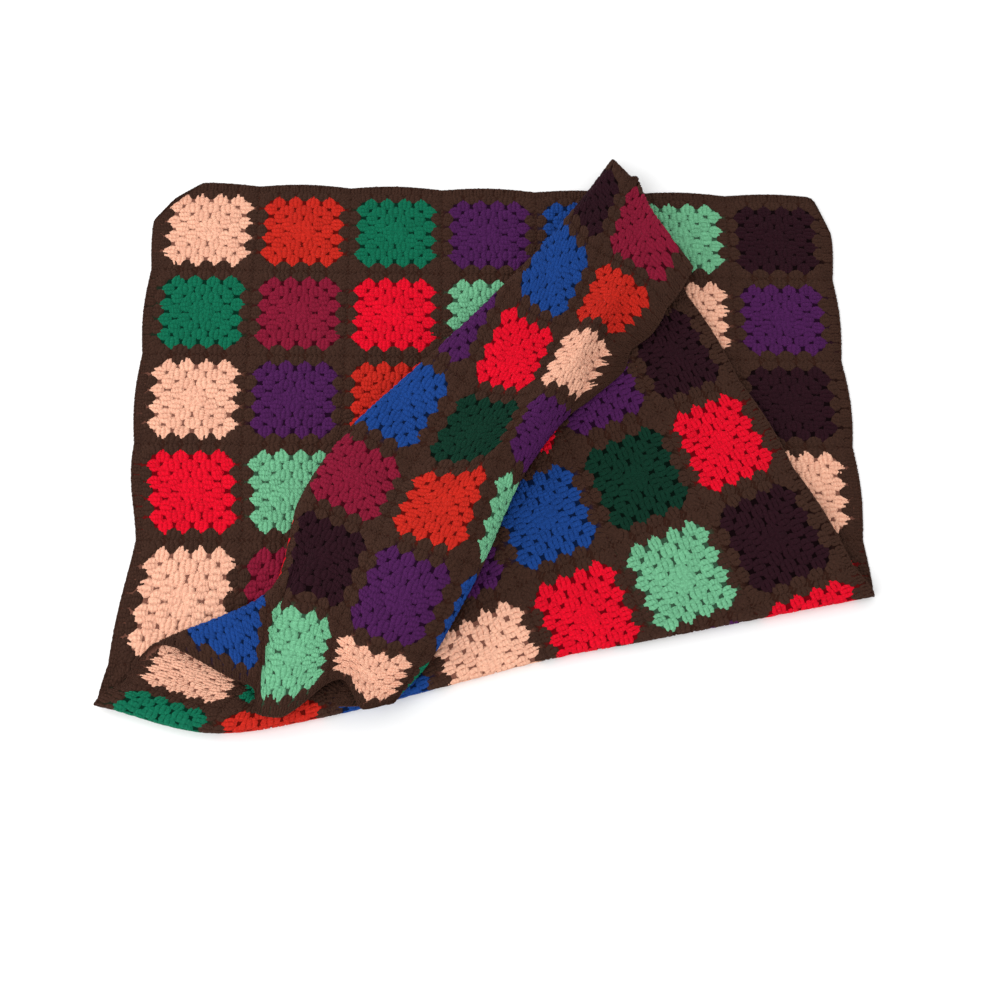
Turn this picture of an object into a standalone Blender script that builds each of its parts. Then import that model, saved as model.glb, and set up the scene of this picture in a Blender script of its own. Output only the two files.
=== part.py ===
"""Granny square blanket, folded twice on the skew and lying on a flat surface.

The blanket is one sheet of joined crochet squares, COLUMNS wide and ROWS long.
It lies as three layers.  The back layer lies face up on the surface.  The first
turn folds the sheet over, so that a middle layer lies face down on the back one.
The second turn folds it again, and the last rows lie face up on top as a soft
hump whose free end rests on the middle layer.

A point of the sheet is named by its column (0 at the left edge, COLUMNS at the
right) and its row (0 at the top edge, ROWS at the free end).  Each line table
below has one row for each of the lines between the squares, column 0 to 7, and
says where that line passes a station of the fold.  All tables are in
millimetres; `row` is the row of the sheet that lies there.
"""

import math
from collections import namedtuple

import bmesh
import bpy
import numpy as np

COLUMNS = 7
ROWS = 11
SQUARE = 140.0
THICK = 4.0
EDGING = 8.0
SCALLOP = 5.0
MM = 0.001

BACK_HEIGHT = THICK / 2
MIDDLE_HEIGHT = 12.5
STEPS_ACROSS = (4, 4, 4, 4, 4, 5, 13)

Turn = namedtuple("Turn", "row across up radius")
Point = namedtuple("Point", "row across up height")
Rank = namedtuple("Rank", "row up ease")

# Rows of the back layer: how far up the surface each one lies, and how far each
# line is eased to the right of its even place there.
BACK_LEFT = -499.0
BACK_PITCH = 140.4
BACK_SLANT = -3.4
BACK_RANKS = (
    Rank(0.0, 498.0, (2.0, 1.0, -3.0, -7.0, -9.0, -8.0, -8.0, -9.0)),
    Rank(1.5, 291.0, (1.0, 1.0, -1.0, -5.0, -8.0, -8.0, -7.0, -9.0)),
    Rank(3.0, 83.0, (3.0, 3.0, 1.0, -2.0, -4.0, -5.0, -4.0, -5.0)),
    Rank(4.0, -59.0, (19.0, 14.0, 9.0, 4.0, 0.0, -2.0, -3.0, -4.0)),
)

# The first turn, along the near side.
FIRST_TURN = (
    Turn(5.50, -503.0, -289.0, 14.0),
    Turn(5.66, -363.0, -322.0, 15.0),
    Turn(5.66, -215.0, -299.0, 12.0),
    Turn(5.45, -75.0, -262.0, 11.0),
    Turn(5.25, 63.0, -225.0, 11.0),
    Turn(5.05, 197.0, -199.0, 11.0),
    Turn(4.85, 335.0, -171.0, 11.0),
    Turn(4.62, 480.0, -142.0, 11.0),
)

# The middle layer's left edge bows out from the straight line between the turns.
MIDDLE_BOW = (4.0, 12.0, 0.0, 0.0, 0.0, 0.0, 0.0, 0.0)
MIDDLE_SHARES = (0.25, 0.6, 0.85)
SPRING_LEFT = 0.35

# The second turn, on the skew from the near left up to the far tip.
SECOND_TURN = (
    Turn(6.85, -432.0, -203.0, 9.0),
    Turn(7.95, -294.0, -132.0, 11.0),
    Turn(7.98, -267.0, -11.0, 13.0),
    Turn(8.15, -205.0, 93.0, 13.0),
    Turn(8.45, -98.0, 205.0, 13.0),
    Turn(8.85, 7.0, 321.0, 12.0),
    Turn(9.28, 102.0, 439.0, 11.0),
    Turn(9.68, 163.0, 528.0, 11.0),
)

# The small pleat by the near corner, from the second turn to the slope, for the first
# two lines.  The other lines run straight there.
PLEAT = (
    (Point(7.55, -340.0, -246.0, 36.0), Point(8.18, -281.0, -146.0, 35.0)),
    (Point(8.00, -306.0, -269.0, 42.0), Point(8.24, -279.0, -150.0, 36.0)),
    (Point(8.12, -303.0, -294.0, 46.0), Point(8.36, -273.0, -155.0, 42.0)),
)

# The top layer: up its slope, over its crest, down its lip and on to its end.
SLOPE = (
    Point(8.45, -274.0, -299.0, 50.0),
    Point(8.55, -241.0, -162.0, 45.0),
    Point(8.75, -186.0, -54.0, 45.0),
    Point(8.95, -121.0, 42.0, 40.0),
    Point(9.15, -38.0, 151.0, 42.0),
    Point(9.40, 39.0, 270.0, 42.0),
    Point(9.70, 119.0, 392.0, 40.0),
    Point(9.98, 188.0, 492.0, 37.0),
)
SHOULDER = (
    Point(9.20, -198.0, -258.0, 50.0),
    Point(9.20, -188.0, -203.0, 58.0),
    Point(9.30, -123.0, -85.0, 66.0),
    Point(9.50, -53.0, 19.0, 66.0),
    Point(9.85, 28.0, 131.0, 56.0),
    Point(10.00, 90.0, 243.0, 46.0),
    Point(10.15, 154.0, 358.0, 42.0),
    Point(10.20, 200.0, 487.0, 40.0),
)
CREST = (
    Point(9.60, -166.0, -296.0, 56.0),
    Point(9.65, -138.0, -229.0, 66.0),
    Point(9.75, -72.0, -107.0, 74.0),
    Point(9.95, -7.0, 29.0, 76.0),
    Point(10.35, 71.0, 129.0, 78.0),
    Point(10.50, 131.0, 233.0, 70.0),
    Point(10.50, 180.0, 340.0, 44.0),
    Point(10.50, 226.0, 472.0, 40.0),
)
LIP = (
    Point(10.10, -131.0, -288.0, 48.0),
    Point(10.20, -87.0, -231.0, 45.0),
    Point(10.30, -26.0, -112.0, 42.0),
    Point(10.45, 27.0, 13.0, 46.0),
    Point(10.67, 95.0, 125.0, 50.0),
    Point(10.74, 144.0, 231.0, 44.0),
    Point(10.75, 206.0, 321.0, 37.0),
    Point(10.75, 250.0, 452.0, 40.0),
)
FOOT = (
    Point(10.35, -140.0, -286.0, 36.0),
    Point(10.45, -87.0, -225.0, 31.0),
    Point(10.52, -37.0, -108.0, 24.0),
    Point(10.65, 16.0, 11.0, 23.0),
    Point(10.85, 104.0, 132.0, 32.0),
    Point(10.88, 155.0, 229.0, 31.0),
    Point(10.87, 218.0, 308.0, 35.0),
    Point(10.87, 267.0, 432.0, 40.0),
)
FREE_END = (
    Point(11.00, -205.0, -290.0, 37.0),
    Point(11.00, -154.0, -217.0, 29.0),
    Point(11.00, -92.0, -103.0, 23.0),
    Point(11.00, -24.0, 20.0, 23.0),
    Point(11.00, 124.0, 144.0, 24.0),
    Point(11.00, 174.0, 223.0, 24.0),
    Point(11.00, 230.0, 289.0, 33.0),
    Point(11.00, 286.0, 409.0, 40.0),
)

# The last corner is tucked under along this straight line.
TUCK_FROM = (180.0, 491.0)
TUCK_TO = (262.0, 353.0)
TUCK_RADIUS = 8.0
TUCK_ROWS = (9.95, 10.60)
TUCK_EASE = 19.0

# The two far corners are drawn in past these lines, to this share of their reach.
CORNERS = (
    ((-443.0, 508.0), (-502.0, 451.0)),
    ((492.0, 405.0), (458.0, 485.0)),
)
CORNER_KEEP = 0.2

# Steps of the mesh between one station and the next, along the rows.
STEPS_BACK = (3, 3, 3, 3)
STEPS_TURN = (4, 4)
STEPS_MIDDLE = (2, 2, 2, 2)
STEPS_TOP = (2, 1, 1, 1, 4, 6, 5, 4, 4)

YARN = (0.045, 0.022, 0.012, 1.0)
YARN_ROUGHNESS = 0.9


def clear_scene():
    for old in list(bpy.data.objects):
        bpy.data.objects.remove(old, do_unlink=True)


def unit(vectors):
    return vectors / np.linalg.norm(vectors, axis=-1, keepdims=True)


def turn_stations(turn, heights, came, goes, outward):
    """Start, outermost line and end of a half turn, as (row, across, up, height)."""
    centre = np.array([(t.across, t.up) for t in turn])
    rows = np.array([t.row for t in turn])
    radius = np.array([t.radius for t in turn])
    along = unit(np.gradient(centre, axis=0))
    normal = np.column_stack([along[:, 1], -along[:, 0]])
    normal *= np.sign(normal @ np.array(outward))[:, None]
    quarter = math.pi / 2 * radius

    def side(direction, sense):
        out = np.abs((direction * normal).sum(1))
        drift = (direction * along).sum(1) * quarter / out
        place = centre - normal * radius[:, None] + sense * along * drift[:, None]
        return place, rows + sense * quarter / out / SQUARE

    start, start_rows = side(came, -1)
    end, end_rows = side(goes, 1)
    return [
        np.column_stack([start_rows, start, heights]),
        np.column_stack([rows, centre, heights + radius]),
        np.column_stack([end_rows, end, heights + 2 * radius]),
    ]


def fold_stations():
    """Every station of the fold, shaped (station, line, 4)."""
    lines = np.arange(COLUMNS + 1)
    level = np.ones(COLUMNS + 1)
    back = [
        np.column_stack([
            level * rank.row,
            BACK_LEFT + BACK_PITCH * lines + np.array(rank.ease),
            rank.up + BACK_SLANT * lines * (1 - rank.row / BACK_RANKS[-1].row),
            level * BACK_HEIGHT,
        ])
        for rank in BACK_RANKS
    ]
    first = np.array([(t.across, t.up) for t in FIRST_TURN])
    second = np.array([(t.across, t.up) for t in SECOND_TURN])
    top = [np.array(line) for line in (SLOPE, SHOULDER, CREST, LIP, FOOT, FREE_END)]
    back_way = unit(first - back[-1][:, 1:3])
    middle_way = unit(second - first)
    top_way = unit(top[0][:, 1:3] - second)

    near = turn_stations(FIRST_TURN, level * BACK_HEIGHT, back_way, middle_way, (0.0, -1.0))
    far = turn_stations(SECOND_TURN, level * MIDDLE_HEIGHT, middle_way, top_way, (-1.0, 1.0))

    middle = []
    for number, share in enumerate(MIDDLE_SHARES):
        station = near[-1] * (1 - share) + far[0] * share
        station[:, 1] += np.array(MIDDLE_BOW) * 4 * share * (1 - share)
        lift = SPRING_LEFT * (near[-1][:, 3] - MIDDLE_HEIGHT) if number == 0 else 0.0
        station[:, 3] = MIDDLE_HEIGHT + lift
        middle.append(station)
    pleat = []
    for number, points in enumerate(PLEAT):
        share = (number + 1) / (len(PLEAT) + 1)
        station = far[-1] * (1 - share) + top[0] * share
        station[:len(points)] = points
        pleat.append(station)
    return np.array(back + near + middle + far + pleat + top)


def between_lines(stations, column):
    """The stations at any column, by a smooth curve through the eight lines."""
    before = 2 * stations[:, :1] - stations[:, 1:2]
    after = 2 * stations[:, -1:] - stations[:, -2:-1]
    padded = np.concatenate([before, stations, after], axis=1)
    first = int(np.clip(math.floor(column), 0, COLUMNS - 1))
    u = column - first
    a, b, c, d = (padded[:, first + k] for k in range(4))
    return 0.5 * (
        2 * b + (c - a) * u + (2 * a - 5 * b + 4 * c - d) * u ** 2
        + (3 * b - a - 3 * c + d) * u ** 3
    )


def even_slopes(rows, places):
    """Slopes of a curve through the stations that never overshoots them."""
    step = np.diff(rows)[:, None]
    rise = np.diff(places, axis=0) / step
    slopes = np.zeros_like(places)
    slopes[0] = rise[0]
    slopes[-1] = rise[-1]
    heavy = 2 * step[1:] + step[:-1]
    light = step[1:] + 2 * step[:-1]
    same = rise[:-1] * rise[1:] > 0
    lower = np.where(same, rise[:-1], 1.0)
    upper = np.where(same, rise[1:], 1.0)
    slopes[1:-1] = np.where(same, (heavy + light) / (heavy / lower + light / upper), 0.0)
    return slopes


def along_rows(stations, rows):
    """Places of the sheet at the given rows of one column."""
    at = stations[:, 0]
    places = stations[:, 1:]
    slopes = even_slopes(at, places)
    kept = np.clip(rows, at[0], at[-1])
    k = np.clip(np.searchsorted(at, kept, side="right") - 1, 0, len(at) - 2)
    step = (at[k + 1] - at[k])[:, None]
    u = (kept - at[k])[:, None] / step
    curve = (
        (2 * u ** 3 - 3 * u ** 2 + 1) * places[k]
        + (u ** 3 - 2 * u ** 2 + u) * step * slopes[k]
        + (3 * u ** 2 - 2 * u ** 3) * places[k + 1]
        + (u ** 3 - u ** 2) * step * slopes[k + 1]
    )
    past = (rows - kept)[:, None]
    return curve + past * np.where(past < 0, slopes[0], slopes[-1])


def tuck_corner(places, rows):
    """Roll the last corner under the top layer along the tuck line.

    Next to the second turn the roll starts TUCK_EASE outside the line.
    """
    start = np.array(TUCK_FROM)
    along = unit(np.array(TUCK_TO) - start)
    normal = np.array([-along[1], along[0]])
    share = np.clip((rows - TUCK_ROWS[0]) / (TUCK_ROWS[1] - TUCK_ROWS[0]), 0, 1)
    ease = TUCK_EASE * (1 - share * share * (3 - 2 * share))
    beyond = np.maximum((places[:, :2] - start) @ normal - ease, 0)
    beyond = np.where(rows > TUCK_ROWS[0], beyond, 0)
    angle = np.minimum(beyond / TUCK_RADIUS, math.pi)
    flat = np.maximum(beyond - math.pi * TUCK_RADIUS, 0)
    reach = TUCK_RADIUS * np.sin(angle) - flat
    moved = places.copy()
    moved[:, :2] += (reach - beyond)[:, None] * normal
    moved[:, 2] -= TUCK_RADIUS * (1 - np.cos(angle))
    return moved


def draw_in_corners(places, rows):
    """Pull the far corners of the back layer in past their lines."""
    moved = places.copy()
    for first, last in CORNERS:
        along = unit(np.array(last) - np.array(first))
        normal = np.array([along[1], -along[0]])
        beyond = np.maximum((moved[:, :2] - np.array(first)) @ normal, 0)
        beyond = np.where(rows < 0.8, beyond, 0)
        moved[:, :2] -= ((1 - CORNER_KEEP) * beyond)[:, None] * normal
    return moved


def edge_reach(run):
    """How far the edging stands past the squares, in squares: a low arch on each."""
    return (EDGING + SCALLOP * abs(math.sin(math.pi * run))) / SQUARE


def mesh_rows(stations, column):
    """Rows of the mesh at one column: even steps between the stations."""
    at = stations[:, 0]
    steps = STEPS_BACK + STEPS_TURN + STEPS_MIDDLE + STEPS_TURN + STEPS_TOP
    rows = [np.linspace(at[i], at[i + 1], n, endpoint=False) for i, n in enumerate(steps)]
    rows = np.concatenate(rows + [at[-1:]])
    rows[0] -= edge_reach(column)
    rows[-1] += edge_reach(column)
    return rows


def mesh_columns():
    """Columns of the mesh: even steps across each square, finest at the tucked corner."""
    starts = [np.linspace(i, i + 1, n, endpoint=False) for i, n in enumerate(STEPS_ACROSS)]
    return np.concatenate(starts + [[COLUMNS]])


def sheet_middle():
    """The middle surface of the sheet on its folds, shaped (column, row, 3)."""
    stations = fold_stations()
    lines = []
    for column in mesh_columns():
        inner = between_lines(stations, column)
        rows = mesh_rows(inner, column)
        places = along_rows(inner, rows)
        if column in (0, COLUMNS):
            side = -1 if column == 0 else 1
            moved = [
                along_rows(between_lines(stations, column + side * edge_reach(row)), rows[i:i + 1])[0]
                for i, row in enumerate(rows)
            ]
            places = np.array(moved)
        lines.append(draw_in_corners(tuck_corner(places, rows), rows))
    return np.array(lines)


def sheet_normals(middle):
    across = np.gradient(middle, axis=0)
    down = np.gradient(middle, axis=1)
    return unit(np.cross(down, across))


def build_blanket():
    middle = sheet_middle()
    offset = sheet_normals(middle) * THICK / 2
    face = middle + offset
    back = middle - offset
    corners = np.concatenate([face.reshape(-1, 3), back.reshape(-1, 3)])
    low = corners.min(axis=0)
    high = corners.max(axis=0)
    origin = np.array([(low[0] + high[0]) / 2, (low[1] + high[1]) / 2, low[2]])
    corners = (corners - origin) * MM

    columns, rows = middle.shape[:2]
    shift = columns * rows
    faces = []
    for i in range(columns - 1):
        for j in range(rows - 1):
            quad = (i * rows + j, i * rows + j + 1, (i + 1) * rows + j + 1, (i + 1) * rows + j)
            faces.append(quad)
            faces.append(tuple(v + shift for v in reversed(quad)))
    rim = [i * rows for i in range(columns)]
    rim += [(columns - 1) * rows + j for j in range(1, rows)]
    rim += [i * rows + rows - 1 for i in range(columns - 2, -1, -1)]
    rim += [j for j in range(rows - 2, 0, -1)]
    for a, b in zip(rim, rim[1:] + rim[:1]):
        faces.append((a, b, b + shift, a + shift))

    mesh = bpy.data.meshes.new("blanket")
    mesh.from_pydata(corners.tolist(), [], faces)
    mesh.validate()
    shape = bmesh.new()
    shape.from_mesh(mesh)
    bmesh.ops.recalc_face_normals(shape, faces=shape.faces)
    bmesh.ops.triangulate(shape, faces=shape.faces)
    shape.to_mesh(mesh)
    shape.free()
    mesh.shade_smooth()

    blanket = bpy.data.objects.new("blanket", mesh)
    bpy.context.scene.collection.objects.link(blanket)
    return blanket


def yarn_material():
    material = bpy.data.materials.new("crochet_yarn")
    material.use_nodes = True
    shader = material.node_tree.nodes["Principled BSDF"]
    shader.inputs["Base Color"].default_value = YARN
    shader.inputs["Roughness"].default_value = YARN_ROUGHNESS
    shader.inputs["Metallic"].default_value = 0.0
    return material


def main():
    clear_scene()
    blanket = build_blanket()
    blanket.data.materials.append(yarn_material())


main()
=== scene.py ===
"""Crochet granny square blanket, folded twice on the skew and lying on a floor.

Every square is worked flat in the sheet's own plane, where a place is a column, a row
and a height off the sheet.  The fold then carries each stitch to where it lies.  The
fold's tables are the ones that the solid is made from, in millimetres.
"""

import math
from collections import namedtuple

import bmesh
import bpy
import numpy as np
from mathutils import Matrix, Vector


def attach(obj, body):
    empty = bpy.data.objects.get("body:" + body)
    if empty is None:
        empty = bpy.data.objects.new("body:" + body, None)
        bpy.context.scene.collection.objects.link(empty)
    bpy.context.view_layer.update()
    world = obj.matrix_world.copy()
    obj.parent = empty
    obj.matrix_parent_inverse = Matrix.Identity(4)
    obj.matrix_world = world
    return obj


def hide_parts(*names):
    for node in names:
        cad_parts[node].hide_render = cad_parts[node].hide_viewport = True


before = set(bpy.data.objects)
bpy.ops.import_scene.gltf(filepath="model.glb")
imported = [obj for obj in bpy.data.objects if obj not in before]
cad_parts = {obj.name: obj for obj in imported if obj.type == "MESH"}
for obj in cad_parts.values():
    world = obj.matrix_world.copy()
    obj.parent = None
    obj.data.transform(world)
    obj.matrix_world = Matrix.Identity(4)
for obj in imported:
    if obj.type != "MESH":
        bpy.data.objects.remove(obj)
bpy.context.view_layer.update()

bl_info = {
    "name": "Granny Square Blanket",
    "version": (1, 0, 0),
    "blender": (4, 5, 0),
    "location": "3D Viewport > Sidebar > Blanket",
    "description": "Makes a folded crochet blanket of granny squares, stitch by stitch",
    "category": "Add Mesh",
}

MM = 0.001
FLOOR_HALF = 12.0

# The sheet, as the solid has it.
COLUMNS = 7
ROWS = 11
SQUARE = 140.0
THICK = 4.0
EDGING = 8.0
SCALLOP = 5.0
BACK_HEIGHT = THICK / 2
MIDDLE_HEIGHT = 12.5

# Yarn of each square, row by row from the top edge, first column to last.
SQUARES = (
    "pink orange emerald purple blue mint aubergine",
    "emerald burgundy red mint orange pink purple",
    "pink purple orange emerald pink burgundy aubergine",
    "red mint blue burgundy emerald aubergine pink",
    "pink burgundy emerald red orange purple red",
    "emerald orange blue pink red mint aubergine",
    "pink emerald mint purple blue bottle red",
    "blue red orange blue red purple aubergine",
    "mint aubergine burgundy blue purple emerald red",
    "pink purple orange bottle red blue aubergine",
    "emerald blue mint purple pink orange burgundy",
)
YARNS = (
    "pink", "orange", "emerald", "purple", "aubergine",
    "burgundy", "red", "mint", "blue", "bottle",
)

# How much bigger than drawn the squares come out, the thicker yarns more than the rest.
YARN_SIZE = {"pink": 1.07, "mint": 1.05, "red": 1.04}
PLAIN_SIZE = 1.03

# A round of the square: its clusters on each side, where they start and end out from
# the middle, and how wide they are against the drawn one.
Round = namedtuple("Round", "clusters base top width")
COLOURED_ROUNDS = (
    Round(1, 1.0, 18.5, 1.20),
    Round(2, 15.0, 31.5, 1.10),
    Round(3, 28.0, 44.5, 1.10),
    Round(4, 41.0, 59.0, 0.94),
)
BROWN_ROUND = Round(5, 54.5, 70.0, 1.12)
CLUSTER_PITCH = 24.5
CORNER_LEAN = 5.0
CORNER_WIDTH = 0.75
CORNER_INSET = 2.0

# An edging cluster is narrower than the drawn one, and starts inside the last round.
EDGING_WIDTH = 0.72
EDGING_ROOT = 3.0
EDGING_INSET = 0.5
RIM_INSET = 1.2

# One cluster of three stitches, drawn along +Y: across, along, half width.
Knot = namedtuple("Knot", "across along half")
CLUSTER_LENGTH = 18.0
MIDDLE_POST = (
    Knot(0.0, -1.0, 2.8),
    Knot(0.0, 4.0, 4.2),
    Knot(0.0, 8.8, 4.5),
    Knot(0.0, 13.8, 4.2),
    Knot(0.0, 18.2, 3.0),
)
SIDE_POST = (
    Knot(2.4, -0.5, 2.6),
    Knot(6.2, 4.0, 4.1),
    Knot(7.0, 8.2, 4.3),
    Knot(5.8, 12.8, 4.0),
    Knot(3.5, 16.6, 3.1),
)
SEAM_STITCH = (
    Knot(-2.6, -2.2, 1.1),
    Knot(0.0, 0.0, 1.7),
    Knot(2.6, 2.2, 1.1),
)
CHAIN_STITCH = (
    Knot(-0.6, -3.6, 1.3),
    Knot(0.5, 0.0, 2.1),
    Knot(-0.2, 3.6, 1.3),
)
STRAND_SIDES = 5
SEAM_DEPTH = 1.35
CHAIN_DEPTH = 1.15

# The twist of the yarn, in millimetres along the strand and turns round it.
PLY_LENGTH = 5.2
PLIES = 1.0
# The ground's painted shade is lighter under the brown stitches, which lie close together.
BROWN_GROUND = 4.0
# Cells of the ground sheet in one square, and how low anything lies over the floor.
GROUND_ACROSS = 12
GROUND_DOWN = 24
LEAST_HEIGHT = 0.2

Turn = namedtuple("Turn", "row across up radius")
Point = namedtuple("Point", "row across up height")
Rank = namedtuple("Rank", "row up ease")

# Rows of the back layer: how far up the surface each one lies, and how far each
# line is eased to the right of its even place there.
BACK_LEFT = -499.0
BACK_PITCH = 140.4
BACK_SLANT = -3.4
BACK_RANKS = (
    Rank(0.0, 498.0, (2.0, 1.0, -3.0, -7.0, -9.0, -8.0, -8.0, -9.0)),
    Rank(1.5, 291.0, (1.0, 1.0, -1.0, -5.0, -8.0, -8.0, -7.0, -9.0)),
    Rank(3.0, 83.0, (3.0, 3.0, 1.0, -2.0, -4.0, -5.0, -4.0, -5.0)),
    Rank(4.0, -59.0, (19.0, 14.0, 9.0, 4.0, 0.0, -2.0, -3.0, -4.0)),
)

# The first turn, along the near side.
FIRST_TURN = (
    Turn(5.50, -503.0, -289.0, 14.0),
    Turn(5.66, -363.0, -322.0, 15.0),
    Turn(5.66, -215.0, -299.0, 12.0),
    Turn(5.45, -75.0, -262.0, 11.0),
    Turn(5.25, 63.0, -225.0, 11.0),
    Turn(5.05, 197.0, -199.0, 11.0),
    Turn(4.85, 335.0, -171.0, 11.0),
    Turn(4.62, 480.0, -142.0, 11.0),
)

# The middle layer's left edge bows out from the straight line between the turns.
MIDDLE_BOW = (4.0, 12.0, 0.0, 0.0, 0.0, 0.0, 0.0, 0.0)
MIDDLE_SHARES = (0.25, 0.6, 0.85)
SPRING_LEFT = 0.35

# The second turn, on the skew from the near left up to the far tip.
SECOND_TURN = (
    Turn(6.85, -432.0, -203.0, 9.0),
    Turn(7.95, -294.0, -132.0, 11.0),
    Turn(7.98, -267.0, -11.0, 13.0),
    Turn(8.15, -205.0, 93.0, 13.0),
    Turn(8.45, -98.0, 205.0, 13.0),
    Turn(8.85, 7.0, 321.0, 12.0),
    Turn(9.28, 102.0, 439.0, 11.0),
    Turn(9.68, 163.0, 528.0, 11.0),
)

# The small pleat by the near corner, from the second turn to the slope, for the first
# two lines.  The other lines run straight there.
PLEAT = (
    (Point(7.55, -340.0, -246.0, 36.0), Point(8.18, -281.0, -146.0, 35.0)),
    (Point(8.00, -306.0, -269.0, 42.0), Point(8.24, -279.0, -150.0, 36.0)),
    (Point(8.12, -303.0, -294.0, 46.0), Point(8.36, -273.0, -155.0, 42.0)),
)

# The top layer: up its slope, over its crest, down its lip and on to its end.
SLOPE = (
    Point(8.45, -274.0, -299.0, 50.0),
    Point(8.55, -241.0, -162.0, 45.0),
    Point(8.75, -186.0, -54.0, 45.0),
    Point(8.95, -121.0, 42.0, 40.0),
    Point(9.15, -38.0, 151.0, 42.0),
    Point(9.40, 39.0, 270.0, 42.0),
    Point(9.70, 119.0, 392.0, 40.0),
    Point(9.98, 188.0, 492.0, 37.0),
)
SHOULDER = (
    Point(9.20, -198.0, -258.0, 50.0),
    Point(9.20, -188.0, -203.0, 58.0),
    Point(9.30, -123.0, -85.0, 66.0),
    Point(9.50, -53.0, 19.0, 66.0),
    Point(9.85, 28.0, 131.0, 56.0),
    Point(10.00, 90.0, 243.0, 46.0),
    Point(10.15, 154.0, 358.0, 42.0),
    Point(10.20, 200.0, 487.0, 40.0),
)
CREST = (
    Point(9.60, -166.0, -296.0, 56.0),
    Point(9.65, -138.0, -229.0, 66.0),
    Point(9.75, -72.0, -107.0, 74.0),
    Point(9.95, -7.0, 29.0, 76.0),
    Point(10.35, 71.0, 129.0, 78.0),
    Point(10.50, 131.0, 233.0, 70.0),
    Point(10.50, 180.0, 340.0, 44.0),
    Point(10.50, 226.0, 472.0, 40.0),
)
LIP = (
    Point(10.10, -131.0, -288.0, 48.0),
    Point(10.20, -87.0, -231.0, 45.0),
    Point(10.30, -26.0, -112.0, 42.0),
    Point(10.45, 27.0, 13.0, 46.0),
    Point(10.67, 95.0, 125.0, 50.0),
    Point(10.74, 144.0, 231.0, 44.0),
    Point(10.75, 206.0, 321.0, 37.0),
    Point(10.75, 250.0, 452.0, 40.0),
)
FOOT = (
    Point(10.35, -140.0, -286.0, 36.0),
    Point(10.45, -87.0, -225.0, 31.0),
    Point(10.52, -37.0, -108.0, 24.0),
    Point(10.65, 16.0, 11.0, 23.0),
    Point(10.85, 104.0, 132.0, 32.0),
    Point(10.88, 155.0, 229.0, 31.0),
    Point(10.87, 218.0, 308.0, 35.0),
    Point(10.87, 267.0, 432.0, 40.0),
)
FREE_END = (
    Point(11.00, -205.0, -290.0, 37.0),
    Point(11.00, -154.0, -217.0, 29.0),
    Point(11.00, -92.0, -103.0, 23.0),
    Point(11.00, -24.0, 20.0, 23.0),
    Point(11.00, 124.0, 144.0, 24.0),
    Point(11.00, 174.0, 223.0, 24.0),
    Point(11.00, 230.0, 289.0, 33.0),
    Point(11.00, 286.0, 409.0, 40.0),
)

# The last corner is tucked under along this straight line.
TUCK_FROM = (180.0, 491.0)
TUCK_TO = (262.0, 353.0)
TUCK_RADIUS = 8.0
TUCK_ROWS = (9.95, 10.60)
TUCK_EASE = 19.0

# The two far corners are drawn in past these lines, to this share of their reach.
CORNERS = (
    ((-443.0, 508.0), (-502.0, 451.0)),
    ((492.0, 405.0), (458.0, 485.0)),
)
CORNER_KEEP = 0.2


def unit(vectors):
    """The same directions, each one long."""
    return vectors / np.linalg.norm(vectors, axis=-1, keepdims=True)


def turn_stations(turn, heights, came, goes, outward):
    """Start, outermost line and end of a half turn, as (row, across, up, height)."""
    centre = np.array([(t.across, t.up) for t in turn])
    rows = np.array([t.row for t in turn])
    radius = np.array([t.radius for t in turn])
    along = unit(np.gradient(centre, axis=0))
    normal = np.column_stack([along[:, 1], -along[:, 0]])
    normal *= np.sign(normal @ np.array(outward))[:, None]
    quarter = math.pi / 2 * radius

    def side(direction, sense):
        out = np.abs((direction * normal).sum(1))
        drift = (direction * along).sum(1) * quarter / out
        place = centre - normal * radius[:, None] + sense * along * drift[:, None]
        return place, rows + sense * quarter / out / SQUARE

    start, start_rows = side(came, -1)
    end, end_rows = side(goes, 1)
    return [
        np.column_stack([start_rows, start, heights]),
        np.column_stack([rows, centre, heights + radius]),
        np.column_stack([end_rows, end, heights + 2 * radius]),
    ]


def fold_stations():
    """Every station of the fold, shaped (station, line, 4)."""
    lines = np.arange(COLUMNS + 1)
    level = np.ones(COLUMNS + 1)
    back = [
        np.column_stack([
            level * rank.row,
            BACK_LEFT + BACK_PITCH * lines + np.array(rank.ease),
            rank.up + BACK_SLANT * lines * (1 - rank.row / BACK_RANKS[-1].row),
            level * BACK_HEIGHT,
        ])
        for rank in BACK_RANKS
    ]
    first = np.array([(t.across, t.up) for t in FIRST_TURN])
    second = np.array([(t.across, t.up) for t in SECOND_TURN])
    top = [np.array(line) for line in (SLOPE, SHOULDER, CREST, LIP, FOOT, FREE_END)]
    back_way = unit(first - back[-1][:, 1:3])
    middle_way = unit(second - first)
    top_way = unit(top[0][:, 1:3] - second)

    near = turn_stations(FIRST_TURN, level * BACK_HEIGHT, back_way, middle_way, (0.0, -1.0))
    far = turn_stations(SECOND_TURN, level * MIDDLE_HEIGHT, middle_way, top_way, (-1.0, 1.0))

    middle = []
    for number, share in enumerate(MIDDLE_SHARES):
        station = near[-1] * (1 - share) + far[0] * share
        station[:, 1] += np.array(MIDDLE_BOW) * 4 * share * (1 - share)
        lift = SPRING_LEFT * (near[-1][:, 3] - MIDDLE_HEIGHT) if number == 0 else 0.0
        station[:, 3] = MIDDLE_HEIGHT + lift
        middle.append(station)
    pleat = []
    for number, points in enumerate(PLEAT):
        share = (number + 1) / (len(PLEAT) + 1)
        station = far[-1] * (1 - share) + top[0] * share
        station[:len(points)] = points
        pleat.append(station)
    return np.array(back + near + middle + far + pleat + top)


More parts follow.
